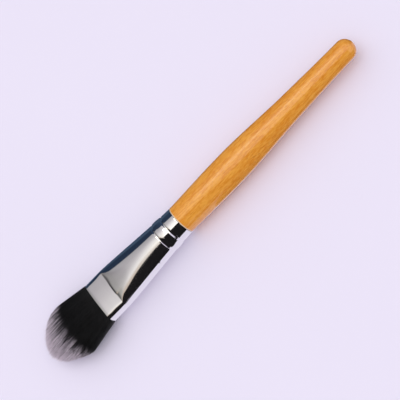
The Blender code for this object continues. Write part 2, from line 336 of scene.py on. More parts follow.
class HandleSettings(PropertyGroup):
    """Sizes and colours of the turned handle."""

    length: metres("Length", "Visible wood from the joint to the butt", HANDLE_BOX[1].x - JOINT)
    neck_diameter: metres("Neck Diameter", "Thickness of the wood at the joint", 0.0124)
    belly_diameter: metres(
        "Belly Diameter", "Thickness of the grip where it is widest", HANDLE_BOX[1].y - HANDLE_BOX[0].y)
    belly_place: metres("Belly Place", "Distance of the widest part from the joint", 0.0271)
    waist_diameter: metres("Waist Diameter", "Thickness where the long taper eases off", 0.0102)
    waist_place: metres("Waist Place", "Distance of the waist from the joint", 0.0605)
    butt_diameter: metres("Butt Diameter", "Thickness where the rounded end starts", 0.0086)
    butt_rounding: metres("Butt Rounding", "Length of the rounded end", 0.0040)
    neck_rounding: metres("Neck Rounding", "Radius of the edge at the joint", 0.0004)
    tenon_diameter: metres("Tenon Diameter", "Thickness of the peg inside the ferrule", 0.0107)
    tenon_tip_diameter: metres("Tenon Tip Diameter", "Thickness of the peg's tapered end", 0.0086)
    tenon_tip_length: metres("Tenon Tip Length", "Length of the peg's taper", 0.0035)
    light_wood: tint("Light Wood", "Amber of the wood between its fibres", (0.88, 0.395, 0.052))
    deep_wood: tint("Deep Wood", "Darker amber of the dense streaks", (0.72, 0.245, 0.012))
    fibre_bundle: tint("Fibre Bundles", "Brown of the short dark fibre bundles", (0.50, 0.145, 0.010))
    # Painted highlight: the cream along the rounded edge at the joint
    cut_wood: tint("Joint Highlight", "Cream of the bare edge at the joint", (0.92, 0.80, 0.62))


HANDLE_SIDES = 128
SPAN_POINTS = 36
CAP_POINTS = 14
CURVE_REACH_SHARE = 0.36
HANDLE_SHARP_ANGLE = math.radians(35)


def curved_span(start, start_slope, end, end_slope):
    """Points of one smooth stretch of the outline, from its start up to but not at its end."""
    reach = (end[0] - start[0]) * CURVE_REACH_SHARE
    knots = (
        Vector((*start, 0)),
        Vector((start[0] + reach, start[1] + reach * start_slope, 0)),
        Vector((end[0] - reach, end[1] - reach * end_slope, 0)),
        Vector((*end, 0)),
    )
    return [(point.x, point.y) for point in interpolate_bezier(*knots, SPAN_POINTS)][:-1]


def handle_outline(sizes):
    """The wood's outline as (place, radius) pairs, from the tenon's end to the butt."""
    neck = (sizes.neck_rounding, sizes.neck_diameter / 2)
    belly = (sizes.belly_place, sizes.belly_diameter / 2)
    waist = (sizes.waist_place, sizes.waist_diameter / 2)
    butt = (sizes.length - sizes.butt_rounding, sizes.butt_diameter / 2)
    neck_slope = (belly[1] - neck[1]) / (belly[0] - neck[0])
    waist_slope = (butt[1] - belly[1]) / (butt[0] - belly[0])
    butt_slope = (butt[1] - waist[1]) / (butt[0] - waist[0]) / 2
    tenon_end = HANDLE_BOX[0].x - JOINT
    outline = [
        (tenon_end, 0),
        (tenon_end, sizes.tenon_tip_diameter / 2),
        (tenon_end + sizes.tenon_tip_length, sizes.tenon_diameter / 2),
        (0, sizes.tenon_diameter / 2),
    ]
    for step in range(CAP_POINTS):
        turn = QUARTER_TURN * step / CAP_POINTS
        radius = neck[1] - sizes.neck_rounding * (1 - math.sin(turn))
        outline.append((sizes.neck_rounding * (1 - math.cos(turn)), radius))
    outline += curved_span(neck, neck_slope, belly, 0)
    outline += curved_span(belly, 0, waist, waist_slope)
    outline += curved_span(waist, waist_slope, butt, butt_slope)
    for step in range(CAP_POINTS):
        turn = QUARTER_TURN * step / CAP_POINTS
        outline.append((butt[0] + sizes.butt_rounding * math.sin(turn), butt[1] * math.cos(turn)))
    outline.append((sizes.length, 0))
    return outline


def turned_mesh(name, outline, sides):
    """A closed solid of revolution about the brush's axis."""
    build = bmesh.new()
    angles = [2 * math.pi * side / sides for side in range(sides)]
    rings = []
    for place, radius in outline[1:-1]:
        rings.append([on_brush(place, radius * math.cos(a), radius * math.sin(a)) for a in angles])
    loops = loft(build, rings)
    for loop, (place, _) in ((loops[0], outline[0]), (loops[-1], outline[-1])):
        pole = build.verts.new(on_brush(place, 0, 0))
        for index, corner in enumerate(loop):
            build.faces.new((corner, loop[(index + 1) % sides], pole))
    return built_mesh(name, build)


class MASKBRUSH_OT_handle(Operator):
    """Turn the bamboo handle with the tenon that the ferrule grips"""

    bl_idname = "mask_brush.handle"
    bl_label = "Turn Handle"

    def execute(self, context):
        sizes = context.scene.mask_brush_handle
        mesh = turned_mesh("turned_handle", handle_outline(sizes), HANDLE_SIDES)
        mesh.shade_smooth()
        mesh.set_sharp_from_angle(angle=HANDLE_SHARP_ANGLE)
        add_piece("turned_handle", mesh, bamboo(sizes), "lacquered_bamboo", "handle")
        return {"FINISHED"}


# Ferrule

class FerruleSettings(PropertyGroup):
    """Sizes and finish of the pressed metal ferrule."""

    rim_diameter: metres("Rim Diameter", "Outer diameter at the joint", 0.0124)
    cone_diameter: metres("Cone Diameter", "Outer diameter after the second crimp", 0.0135)
    collar_length: metres("Collar Length", "Distance of the first crimp from the joint", 0.0050)
    band_length: metres("Band Length", "Distance between the two crimps", 0.0048)
    band_crown: metres("Band Crown", "Height of the barrel between the crimps", 0.00022, 0)
    crimp_width: metres("Crimp Width", "Width of a rolled crimp", 0.0011)
    crimp_depth: metres("Crimp Depth", "Depth of a rolled crimp", 0.0002, 0)
    mouth_width: metres("Mouth Width", "Outer width at the mouth", FERRULE_BOX[1].y - FERRULE_BOX[0].y)
    arch_thickness: metres("Arch Thickness", "Outer thickness of the tube just before the pads", 0.0075)
    pad_thickness: metres("Pad Thickness", "Mean outer thickness across the pressed pads", 0.0066)
    pad_length: metres("Pad Length", "Length of the pressed pads from the mouth", 0.0085)
    pad_crown: metres("Pad Crown", "How much higher a pad's middle is than its long edges", 0.00030, 0)
    pad_bulge: metres("Pad Bulge", "How much higher a pad's middle is than its two ends", 0.00014, 0)
    shoulder_slope: number(
        "Shoulder Slope", "Slope at which the shoulder climbs away from the pad", 0.185, 0, 2)
    curl_height: metres("Curl Height", "Height of the steep curl right behind the crease", 0.00104, 0)
    curl_reach: metres("Curl Reach", "Length over which the steep curl dies away", 0.00124)
    wall: metres("Wall", "Thickness of the metal", 0.00045)
    arch_power: number("Arch Fullness", "Power of the superellipse at the pads", 3.2, 2, 8)
    flatten_power: number("Flattening", "How late along the taper the tube grows flat", 1.9, 0.5, 4)
    plate_colour: tint("Plate", "Colour of the bright plating", (0.93, 0.925, 0.93))
    plate_shade: tint("Plate Shade", "Colour of the plating where it is hazed", (0.88, 0.875, 0.88))
    plate_roughness: number(
        "Plate Roughness", "Roughness of the plating where it is cleanest", 0.055, 0, 1, "FACTOR")


SIDE_STEPS = 14
TOP_STEPS = 22
CRIMP_STEPS = 18
CRIMP_SHARES = (0.75, 0.45)
CRIMP_DEPTH_SHARES = (1, 0.6)
BAND_STEPS = 10
TAPER_STEPS = 44
SHOULDER_STEPS = 40
PAD_STEPS = 8
SHOULDER_RUN = 0.009
CREASE_ROUNDING = 0.00016
PAD_EDGE_ROUNDING = 0.00012
SHOULDER_ROUNDING = 0.0006
ROUNDING_GROWTH = 0.2
CURL_RISE = (-0.60, 0.42)
CURL_FALL = (0.46, 0.66)
CURL_FADE = 0.0022
RIM_PLACE = -SEAT_GAP / 6
EDGE_ROUNDING_SHARE = 0.4
BEVEL_ANGLE = math.radians(70)
FERRULE_SHARP_ANGLE = math.radians(24)


def smooth_step(value, low, high):
    """A smooth step from 0 at the low value to 1 at the high one."""
    share = min(1, max(0, (value - low) / (high - low)))
    return share * share * (3 - 2 * share)


def lower_of(first, second, rounding):
    """The lower of two heights, with the corner between them rounded off."""
    close = max(0, 1 - abs(first - second) / rounding)
    return min(first, second) - close * close * rounding / 4


class Tube:
    """The ferrule's outer shape: a round cone with crimps that is drawn out flat and pressed."""

    def __init__(self, sizes):
        self.sizes = sizes
        self.rim = sizes.rim_diameter / 2
        self.cone = sizes.cone_diameter / 2
        self.arch = sizes.arch_thickness / 2
        self.pad = sizes.pad_thickness / 2
        self.crimps = (-sizes.collar_length, -(sizes.collar_length + sizes.band_length))
        self.taper_start = self.crimps[1] - sizes.crimp_width / 2
        self.mouth = FERRULE_BOX[0].x - JOINT
        self.crease = self.mouth + sizes.pad_length
        flat_share = 1 - (self.pad / self.arch) ** sizes.arch_power
        self.pad_edge = sizes.mouth_width / 2 * flat_share ** (1 / sizes.arch_power)

    def round_radius(self, place):
        """Outer radius of the cone with its crimps and the barrel between them."""
        sizes = self.sizes
        radius = self.rim + (self.cone - self.rim) * place / self.taper_start
        for crimp, depth_share in zip(self.crimps, CRIMP_DEPTH_SHARES):
            depth = sizes.crimp_depth * depth_share
            share = CRIMP_SHARES[0] if place > crimp else CRIMP_SHARES[1]
            away = abs(place - crimp) / (sizes.crimp_width * share)
            if away < 1:
                radius -= depth * (1 + math.cos(math.pi * away)) / 2
        away = abs(place - sum(self.crimps) / 2) / (sizes.band_length / 2)
        return radius + sizes.band_crown * max(0, 1 - away * away)

    def section(self, place):
        """Half width, half height and power of the superellipse at a place."""
        if place >= self.taper_start:
            radius = self.round_radius(place)
            return radius, radius, 2
        along = min(1, (self.taper_start - place) / (self.taper_start - self.crease))
        flat = along ** self.sizes.flatten_power
        half_width = self.cone + (self.sizes.mouth_width / 2 - self.cone) * along
        half_height = self.cone + (self.arch - self.cone) * flat
        return half_width, half_height, 2 + (self.sizes.arch_power - 2) * flat

    def point(self, place, angle):
        """Point on the outside at an angle round the section, pressed down towards the pads."""
        half_width, half_height, power = self.section(place)
        across, up = math.cos(angle), math.sin(angle)
        y = math.copysign(half_width * abs(across) ** (2 / power), across)
        arch = half_height * abs(up) ** (2 / power)
        behind = self.behind_crease(place)
        rounding = min(SHOULDER_ROUNDING, PAD_EDGE_ROUNDING + behind * ROUNDING_GROWTH)
        on_pad = min(1, max(0, (self.crease - place) / self.sizes.pad_length))
        bulge = self.sizes.pad_bulge * (4 * on_pad * (1 - on_pad) - 2 / 3)
        z = lower_of(arch, self.pressed_height(behind, y) + bulge, rounding)
        return on_brush(place, y, math.copysign(max(0, z), up))

    def behind_crease(self, place):
        """Distance behind the crease, which eases to zero on the pad."""
        away = place - self.crease
        return (away + math.hypot(away, CREASE_ROUNDING)) / 2

    def pressed_height(self, behind, y):
        """Height that the die leaves: a crowned pad and the shoulder that curls up behind it."""
        sizes = self.sizes
        share = y / self.pad_edge
        fullest = smooth_step(-share, *CURL_RISE) * (1 - smooth_step(-share, *CURL_FALL))
        flattened = math.exp(-behind / CURL_FADE) * (1 - fullest)
        curl = sizes.curl_height * (1 - flattened) * (1 - math.exp(-behind / sizes.curl_reach))
        crown = sizes.pad_crown * (0.5 - share * share) * math.exp(-behind / SHOULDER_RUN)
        return self.pad + crown + curl + sizes.shoulder_slope * behind

    def angles(self):
        """Angles round a section, with one at each edge of the pressed pads."""
        edge = math.asin((self.pad / self.arch) ** (self.sizes.arch_power / 2))
        side = [edge * step / SIDE_STEPS for step in range(SIDE_STEPS)]
        top = [edge + (QUARTER_TURN - edge) * step / TOP_STEPS for step in range(TOP_STEPS)]
        quarter = side + top
        half = quarter + [math.pi - angle for angle in reversed(quarter[1:] + [QUARTER_TURN])]
        return half + [math.pi + angle for angle in half]

    def places(self):
        """Places of the rings, close together where the shape turns fast."""
        before = self.sizes.crimp_width * CRIMP_SHARES[0]
        after = self.sizes.crimp_width / 2
        first, second = self.crimps
        stops = (
            (RIM_PLACE, BAND_STEPS),
            (first + before, CRIMP_STEPS),
            (first - after, BAND_STEPS),
            (second + before, CRIMP_STEPS),
            (self.taper_start, TAPER_STEPS),
            (self.crease + SHOULDER_RUN, 0),
        )
        places = []
        for (start, steps), (end, _) in zip(stops, stops[1:]):
            places += [start + (end - start) * step / steps for step in range(steps)]
        for step in range(SHOULDER_STEPS):
            places.append(self.crease + SHOULDER_RUN * (1 - step / SHOULDER_STEPS) ** 2)
        for step in range(PAD_STEPS + 1):
            places.append(self.crease + (self.mouth - self.crease) * (step / PAD_STEPS) ** 2)
        return places


def tube_mesh(name, tube, wall, rounding):
    """The tube with its wall and rounded edges."""
    build = bmesh.new()
    angles = tube.angles()
    loft(build, [[tube.point(place, angle) for angle in angles] for place in tube.places()])
    piece = linked(name, built_mesh(name, build))
    thick = piece.modifiers.new("wall", "SOLIDIFY")
    thick.thickness = wall
    thick.offset = -1
    edges = piece.modifiers.new("edges", "BEVEL")
    edges.width = rounding
    edges.segments = 3
    edges.limit_method = "ANGLE"
    edges.angle_limit = BEVEL_ANGLE
    mesh = plain_mesh(name, piece)
    mesh.shade_smooth()
    mesh.set_sharp_from_angle(angle=FERRULE_SHARP_ANGLE)
    return mesh


class MASKBRUSH_OT_ferrule(Operator):
    """Draw the ferrule from a round crimped cone to a flat mouth with pressed pads"""

    bl_idname = "mask_brush.ferrule"
    bl_label = "Press Ferrule"

    def execute(self, context):
        sizes = context.scene.mask_brush_ferrule
        rounding = sizes.wall * EDGE_ROUNDING_SHARE
        mesh = tube_mesh("pressed_ferrule", Tube(sizes), sizes.wall, rounding)
        add_piece("pressed_ferrule", mesh, plate(sizes), "polished_plate", "ferrule")
        return {"FINISHED"}


class GlueSettings(PropertyGroup):
    """Colours of the glue inside the ferrule."""

    root_colour: tint("Root Glue", "Amber of the resin that holds the bristles", (0.55, 0.42, 0.20))
    wood_colour: tint("Wood Glue", "Cream of the adhesive round the tenon", (0.75, 0.70, 0.55))


def relit(colour, share):
    """A solid colour with its light scaled by a share."""
    return (*(part * share for part in colour[:3]), 1)


GLUE_SHADE = 0.6


class MASKBRUSH_OT_glue(Operator):
    """Give the two hidden glue solids their mottled finishes"""

    bl_idname = "mask_brush.glue"
    bl_label = "Finish Glue"

    def execute(self, context):
        sizes = context.scene.mask_brush_glue
        finishes = {
            "epoxy_plug": ("root_glue", sizes.root_colour, 0.3),
            "tenon_adhesive": ("wood_glue", sizes.wood_colour, 0.45),
        }
        for node, (name, colour, roughness) in finishes.items():
            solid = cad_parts[node]
            material = resin(name, tuple(colour), relit(colour, GLUE_SHADE), roughness)
            solid.data.materials.clear()
            solid.data.materials.append(material)
        return {"FINISHED"}


# Bristles

LONGEST_PAST_SOLID = 0.0017


class BristleSettings(PropertyGroup):
    """Sizes, numbers and colours of the tuft."""

    length: metres(
        "Length", "Longest bristle, measured from the ferrule's mouth",
        FERRULE_BOX[0].x - TUFT_BOX[0].x + LONGEST_PAST_SOLID)
    width: metres("Tuft Width", "Width of the tuft where it is widest", TUFT_BOX[1].y - TUFT_BOX[0].y)
    thickness: metres(
        "Tuft Thickness", "Thickness of the tuft where it is widest", TUFT_BOX[1].z - TUFT_BOX[0].z)
    widest_place: metres("Widest Place", "Distance from the mouth at which the dome starts", 0.0155)
    root_depth: metres("Root Depth", "How far the drawn bristles reach into the ferrule", 0.0016)
    swell_reach: metres("Swell Reach", "Length over which the bristles swell past the rim", 0.0005)
    swell_width: metres("Swell Width", "How much wider than the mouth the swell is", 0.0008, 0)
    swell_thickness: metres("Swell Thickness", "How much thicker than the pads the swell is", 0.0002, 0)
    strands: IntProperty(
        name="Strands in a Layer", description="Number of bristles in each of the three layers",
        default=4400, min=10, max=4500)
    strand_diameter: metres("Strand Diameter", "Thickness of a bristle at its root", 0.00010)
    tip_share: number(
        "Tip Share", "Thickness of a bristle's tip against its root", 0.22, 0.05, 1, "FACTOR")
    tip_jitter: metres("Tip Jitter", "How much the bristles differ in length", 0.0018, 0)
    wisp_length: metres(
        "Wisp Length", "How far the few longest bristles reach past the others", 0.0016, 0)
    dome_fullness: number(
        "Dome Fullness", "Power of the dome's outline, 0.5 where it is an ellipse", 0.65, 0.2, 2)
    dome_lean: number(
        "Dome Lean", "How much fuller the dome is on its near side than on its far one", -0.19, -0.5, 0.5)
    clump_size: metres("Clump Size", "Width of the clumps that the bristles gather in", 0.0005)
    streak_size: metres("Streak Size", "Width of the streaks that share one dyed length", 0.00030)
    clump_pull: number(
        "Clump Pull", "How far the bristles gather towards their clump's middle", 0.45, 0, 1, "FACTOR")
    dye_length: metres("Dye Length", "Least length of the black part, from the mouth", 0.0155)
    dye_spread: metres("Dye Spread", "How much longer the black part is in some streaks", 0.0090, 0)
    dye_colour: tint("Dyed Part", "Black of the dyed bristles", (0.0062, 0.0062, 0.0072))
    tip_colour: tint("Pale Tips", "Greyish white of the undyed ends", (0.96, 0.86, 0.95))
    tip_shade: tint("Pale Shade", "Darker greyish tone of some undyed ends", (0.14, 0.115, 0.15))
    seed: IntProperty(
        name="Seed", description="Seed of the bristles' differences",
        default=7, min=0)


LAYERS = {
    "bristles_upper": (1 / 3, 1.0),
    "bristles_middle": (-1 / 3, 1 / 3),
    "bristles_lower": (-1.0, -1 / 3),
}
SEED_STEP = 100
STRAND_POINTS = 8
GOLDEN_STEPS = (0.7548776662, 0.5698402910)
SECTION_POWER = 6
CLUMP_SQUASH = 0.6
STREAK_SQUASH = 0.7
WISP_RARITY = 25
TIP_THINNING = 0.25

# Sway of the tips across and up, of all near strands alike and of each by itself
WAVE_SCALES = (300, 60)
WAVE_SWAY = (0.0016, 0.0010)
STRAND_SWAY = (0.00022, 0.00015)

# The map of the fibres holds the distance past the dye's end, as a share of this length
DYE_MAP_LENGTH = 0.060
DYE_FALL = 0.0026
DYE_BLUR = (-0.0007, 0.0016)
DYE_SHEEN = 2.4
BLEACH_REACH = 0.010


def bristle_fibre(sizes):
    """Dyed synthetic fibre, read from a map of distance past the dye's end and of tone."""
    material, graph = new_material("dyed_bristle")
    along, tone, _ = graph.parts(graph.add("ShaderNodeUVMap", {"uv_map": UV_LAYER}))
    past_dye = (along - 0.5) * DYE_MAP_LENGTH
    fade = graph.eased(past_dye, *DYE_BLUR)
    bleach = graph.eased(past_dye + tone * 0.003, 0.0, BLEACH_REACH)
    paleness = graph.limited(tone * 0.85 + bleach * 0.62 - 0.06)
    pale = graph.blended(paleness, sizes.tip_shade, sizes.tip_colour)
    black = graph.blended(tone, sizes.dye_colour, relit(sizes.dye_colour, DYE_SHEEN))
    show_surface(graph, {
        "Base Color": graph.blended(fade, black, pale),
        "Roughness": 0.42 + fade * 0.1,
        "Specular IOR Level": 0.35,
    })
    return material


def bristle_tree(material, values):
    """The Geometry Nodes tree that sets one layer of bristles, with an input for each value."""
    tree = bpy.data.node_groups.new("bristle_layer", "GeometryNodeTree")
    tree.interface.new_socket("Bristles", in_out="OUTPUT", socket_type="NodeSocketGeometry")
    for name, value in values.items():
        kind = "NodeSocketInt" if isinstance(value, int) else "NodeSocketFloat"
        tree.interface.new_socket(name, in_out="INPUT", socket_type=kind)
    graph = Graph(tree)
    source = graph.node("NodeGroupInput")
    size = {output.name: Wire(graph, output) for output in source.outputs if output.name}

    def store(geometry, name, value, kind="FLOAT", domain="POINT"):
        """Keeps a value on the geometry under a name."""
        settings = {"data_type": kind, "domain": domain}
        sockets = {"Geometry": geometry, "Name": name, "Value": value}
        return graph.add("GeometryNodeStoreNamedAttribute", settings, sockets)

    def kept(name, kind="FLOAT"):
        """The value that the geometry keeps under a name."""
        return graph.add("GeometryNodeInputNamedAttribute", {"data_type": kind}, {"Name": name})

    # One straight strand on every point, each with its number
    points = graph.add("GeometryNodePoints", None, {"Count": size["Strands in a Layer"]})
    points = store(points, "strand", graph.add("GeometryNodeInputIndex"), "INT")
    line = graph.add("GeometryNodeCurvePrimitiveLine")
    line = graph.add("GeometryNodeResampleCurve", None, {"Curve": line, "Count": STRAND_POINTS})
    strands = graph.add("GeometryNodeInstanceOnPoints", None, {"Points": points, "Instance": line})
    strands = graph.add("GeometryNodeRealizeInstances", None, {"Geometry": strands})
    strand = kept("strand", "INT")

    def draw(low, high, seed):
        """A random number for each strand."""
        sockets = {2: low, 3: high, "ID": strand, "Seed": size["Seed"] + seed}
        return graph.add("FunctionNodeRandomValue", {"data_type": "FLOAT"}, sockets, 1)

    # Root of the strand, as shares of the section
    side = graph.maths("FRACT", strand * GOLDEN_STEPS[0] + size["Layer High"]) * 2 - 1
    level = graph.maths("FRACT", strand * GOLDEN_STEPS[1] + 0.5)
    level = size["Layer Low"] + (size["Layer High"] - size["Layer Low"]) * level
    side = side + draw(-0.01, 0.01, 1)
    level = level * graph.maths("SQRT", graph.maths("MAXIMUM", 1.02 - side ** SECTION_POWER, 0.0))
    across = side * size["Tuft Width"] / 2
    above = level * size["Tuft Thickness"] / 2

    def cells(width, squash, shift):
        """Cells over the section, in one of which each strand stands."""
        spot = graph.vector(across / width, above / width * squash, shift)
        sockets = {"Vector": spot, "Scale": 1.0}
        return graph.node("ShaderNodeTexVoronoi", {"voronoi_dimensions": "3D"}, sockets)

    # Clumps, whose middles the strands lean to
    clump = cells(size["Clump Size"], CLUMP_SQUASH, size["Layer Low"])
    heart_across, heart_above, _ = graph.parts(Wire(graph, clump.outputs["Position"]))
    clump_a, _, clump_c = graph.parts(Wire(graph, clump.outputs["Color"]))
    lean_across = (heart_across * size["Clump Size"] - across) * size["Clump Pull"]
    lean_above = (heart_above / CLUMP_SQUASH * size["Clump Size"] - above) * size["Clump Pull"]

    # Length on the dome, and distance of each point from the mouth
    left = graph.maths("MAXIMUM", 1 - side * side - 0.5 * level * level, 0.0)
    left = left ** (size["Dome Fullness"] + size["Dome Lean"] * side)
    dome = size["Length"] - size["Widest Place"]
    reach = size["Widest Place"] + dome * left
    ragged = size["Tip Jitter"] * (draw(0.0, 1.0, 2) * 0.8 + clump_a * 0.2)
    ragged = ragged + size["Wisp Length"] * (1 - draw(0.0, 1.0, 7) ** WISP_RARITY)
    reach = reach - ragged * (0.4 + left * 0.6)
    index = graph.add("GeometryNodeSplineParameter", None, None, "Index")
    inside = 1 - graph.limited(index)
    swelling = graph.limited(index - 1)
    free = graph.limited((index - 2) / (STRAND_POINTS - 3))
    distance = size["Swell Reach"] * swelling - size["Root Depth"] * inside
    distance = distance + (reach - size["Swell Reach"]) * free

    # How wide and thick the tuft is at that distance
    flare = (distance - size["Swell Reach"]) / (size["Widest Place"] - size["Swell Reach"])
    flare = graph.limited(flare)
    beyond = graph.limited((distance - size["Widest Place"]) / dome)

    def drawn_out(root, swell, widest):
        """A measure of the tuft that swells at the mouth and flares to its widest place."""
        start = root + (swell - root) * swelling
        return start + (widest - start) * flare

    wide = drawn_out(size["Root Width"], size["Swell Width"], size["Tuft Width"])
    thick = drawn_out(size["Root Thickness"], size["Swell Thickness"], size["Tuft Thickness"])
    thick = thick * (1 - beyond * beyond * TIP_THINNING)

    # Bends that grow towards the tip
    tipward = graph.limited(distance / size["Length"])
    tipward = tipward * tipward
    wave = graph.vector(across * WAVE_SCALES[0], above * WAVE_SCALES[0], distance * WAVE_SCALES[1])
    waves = graph.add("ShaderNodeTexNoise", None, {"Vector": wave, "Scale": 1.0, "Detail": 1.0}, "Color")
    wave_across, wave_above, _ = graph.parts(waves)
    drift_across = (wave_across - 0.5) * WAVE_SWAY[0] + draw(-STRAND_SWAY[0], STRAND_SWAY[0], 3)
    drift_above = (wave_above - 0.5) * WAVE_SWAY[1] + draw(-STRAND_SWAY[1], STRAND_SWAY[1], 4)
    y = side * wide / 2 + (lean_across + drift_across) * tipward
    z = level * thick / 2 + (lean_above + drift_above) * tipward
    place = graph.vector(size["Mouth"] - distance, y, size["Axis Height"] + z)
    strands = graph.add("GeometryNodeSetPosition", None, {"Geometry": strands, "Position": place})

    # Dye and tone, kept on the strand for its map
    streak = cells(size["Streak Size"], STREAK_SQUASH, size["Layer High"])
    streak_a, streak_b, streak_c = graph.parts(Wire(graph, streak.outputs["Color"]))
    longer = graph.eased(streak_a, 0.35, 0.65) * streak_c * 0.6
    longer = longer + graph.eased(streak_b, 0.86, 0.92) * 0.35 + draw(0.0, 0.2, 5)
    dyed = size["Dye Length"] + size["Dye Spread"] * longer
    dyed = dyed - DYE_FALL * side * side * (1 + side * 0.5)
    tone = 0.5 + (streak_b - 0.5) * 1.3 + (clump_c - 0.5) * 0.15 + draw(-0.15, 0.15, 6)
    strands = store(strands, "past_dye", (distance - dyed) / DYE_MAP_LENGTH + 0.5)
    strands = store(strands, "tone", graph.limited(tone) * 0.92 + 0.02)

    # Three-sided strands that thin out to their tips
    ring = graph.add("GeometryNodeCurvePrimitiveCircle", None, {0: 3, 4: size["Strand Diameter"] / 2})
    ring = store(ring, "around", graph.add("GeometryNodeSplineParameter", None, None, "Factor"))
    along = index / (STRAND_POINTS - 1)
    taper = 1 - (1 - size["Tip Share"]) * along * along
    sockets = {"Curve": strands, "Profile Curve": ring, "Scale": taper, "Fill Caps": True}
    mesh = graph.add("GeometryNodeCurveToMesh", None, sockets)
    spot = graph.vector(kept("past_dye"), kept("tone") + kept("around") * 0.02, 0.0)
    mesh = store(mesh, UV_LAYER, spot, "FLOAT2", "CORNER")
    for name in ("strand", "past_dye", "tone", "around"):
        mesh = graph.add("GeometryNodeRemoveAttribute", None, {"Geometry": mesh, "Name": name})
    mesh = graph.add("GeometryNodeSetShadeSmooth", None, {"Geometry": mesh, "Shade Smooth": True})
    mesh = graph.add("GeometryNodeRealizeInstances", None, {"Geometry": mesh})
    mesh = graph.add("GeometryNodeSetMaterial", None, {"Geometry": mesh, "Material": material})
    graph.node("NodeGroupOutput", None, {0: mesh})
    return tree


def run_tree(name, tree, values):
    """The mesh that a Geometry Nodes tree makes from these values of its inputs."""
    host = linked(name, bpy.data.meshes.new(name))
    nodes = host.modifiers.new("nodes", "NODES")
    nodes.node_group = tree
    for socket in tree.interface.items_tree:
        if socket.in_out == "INPUT":
            nodes[socket.identifier] = values[socket.name]
    return plain_mesh(name, host)


def tuft_values(sizes, ferrule):
    """The numbers of the tuft by their names, with those that follow from the ferrule."""
    values = {}
    for rule in sizes.bl_rna.properties:
        if rule.type in {"FLOAT", "INT"} and not rule.is_array:
            values[rule.name] = getattr(sizes, rule.identifier)
    lining = 2 * (ferrule.wall + SEAT_GAP / 2)
    values["Root Width"] = ferrule.mouth_width - lining
    values["Root Thickness"] = ferrule.pad_thickness - lining
    values["Swell Width"] = ferrule.mouth_width + sizes.swell_width
    values["Swell Thickness"] = ferrule.pad_thickness + sizes.swell_thickness
    values["Mouth"] = FERRULE_BOX[0].x
    values["Axis Height"] = AXIS_HEIGHT
    return values


class MASKBRUSH_OT_bristles(Operator):
    """Set three layers of dyed bristles in the ferrule's mouth"""

    bl_idname = "mask_brush.bristles"
    bl_label = "Set Bristles"

    def execute(self, context):
        sizes = context.scene.mask_brush_bristles
        values = tuft_values(sizes, context.scene.mask_brush_ferrule)
        material = bristle_fibre(sizes)
        tree = None
        for order, (name, (low, high)) in enumerate(LAYERS.items()):
            values |= {"Layer Low": low, "Layer High": high, "Seed": sizes.seed + SEED_STEP * order}
            tree = tree or bristle_tree(material, values)
            mesh = run_tree(name, tree, values)
            if not mesh.polygons:
                raise RuntimeError(f"the layer {name} has no bristles")
            add_piece(name, mesh, material, "dyed_bristle", "bristle_tuft")
        return {"FINISHED"}


# Stage

class StageSettings(PropertyGroup):
    """Floor, lights and camera."""

    floor_colour: tint("Floor", "Colour of the pale floor", (0.84, 0.79, 0.93))
    sky_colour: tint("Room Light", "Colour of the soft light from all sides", (0.96, 0.96, 1.0))
    sky_strength: FloatProperty(
        name="Room Strength", description="Strength of the soft light from all sides",
        default=0.68, min=0)
    key_power: FloatProperty(
        name="Key Power", description="Power of the large lamp on the brush's far side",
        default=1.3, min=0, unit="POWER")
    fill_power: FloatProperty(
        name="Fill Power", description="Power of the large lamp near the camera",
        default=2.9, min=0, unit="POWER")
    lamp_size: metres("Lamp Size", "Side of both large lamps", 0.9)
    camera_distance: metres("Camera Distance", "Depth of the joint in front of the camera", 0.4325)


FRAME_PIXELS = 400
FOCAL_PIXELS = 1131
SENSOR_WIDTH = 36
NEAREST_SEEN = 0.01
CAMERA_TILT = math.radians(11)
CAMERA_SPIN = math.radians(26)
CAMERA_ROLL = math.radians(45.96)
AIM_PLACE = 0.01085
AIM_DROP_PIXELS = 0.23
LAMP_DISTANCE = 0.9
LAMP_COLOUR = (1.0, 0.98, 0.97)
KEY_DIRECTION = (-0.35, 0.75, 1.0)
FILL_DIRECTION = (0.1, -0.2, 1.0)
FLOOR_REACH = 2.0
CARD_DEPTH = 0.0002
CARD_REACH = 0.6

# Dark strip beside the brush, which ends the light that the round collar shows
FLAG_SPAN = (-0.0282, 0.003)
FLAG_ANGLES = (math.radians(23.5), math.radians(50))
FLAG_DISTANCE = 0.06


def camera_axes():
    """Right, up and backward axes of the camera, from the brush's turn before it."""
    x, y, z = Vector((1, 0, 0)), Vector((0, 1, 0)), Vector((0, 0, 1))
    level = math.cos(CAMERA_SPIN) * z - math.sin(CAMERA_SPIN) * y
    drop = -math.cos(CAMERA_SPIN) * y - math.sin(CAMERA_SPIN) * z
    along = math.cos(CAMERA_TILT) * x - math.sin(CAMERA_TILT) * level
    back = math.sin(CAMERA_TILT) * x + math.cos(CAMERA_TILT) * level
    right = math.cos(CAMERA_ROLL) * along + math.sin(CAMERA_ROLL) * drop
    up = math.sin(CAMERA_ROLL) * along - math.cos(CAMERA_ROLL) * drop
    return right, up, back, drop


def add_camera(distance):
    """The camera at the photograph's viewing angle."""
    right, up, back, drop = camera_axes()
    lens = bpy.data.cameras.new("camera")
    lens.sensor_width = SENSOR_WIDTH
    lens.lens = SENSOR_WIDTH * FOCAL_PIXELS / FRAME_PIXELS
    lens.clip_start = NEAREST_SEEN
    camera = linked("camera", lens)
    lowered = drop * (AIM_DROP_PIXELS / FOCAL_PIXELS * distance)
    pose = Matrix((right, up, back)).transposed().to_4x4()
    pose.translation = on_brush(AIM_PLACE, 0, 0) + back * distance - lowered
    camera.matrix_world = pose
    bpy.context.scene.camera = camera


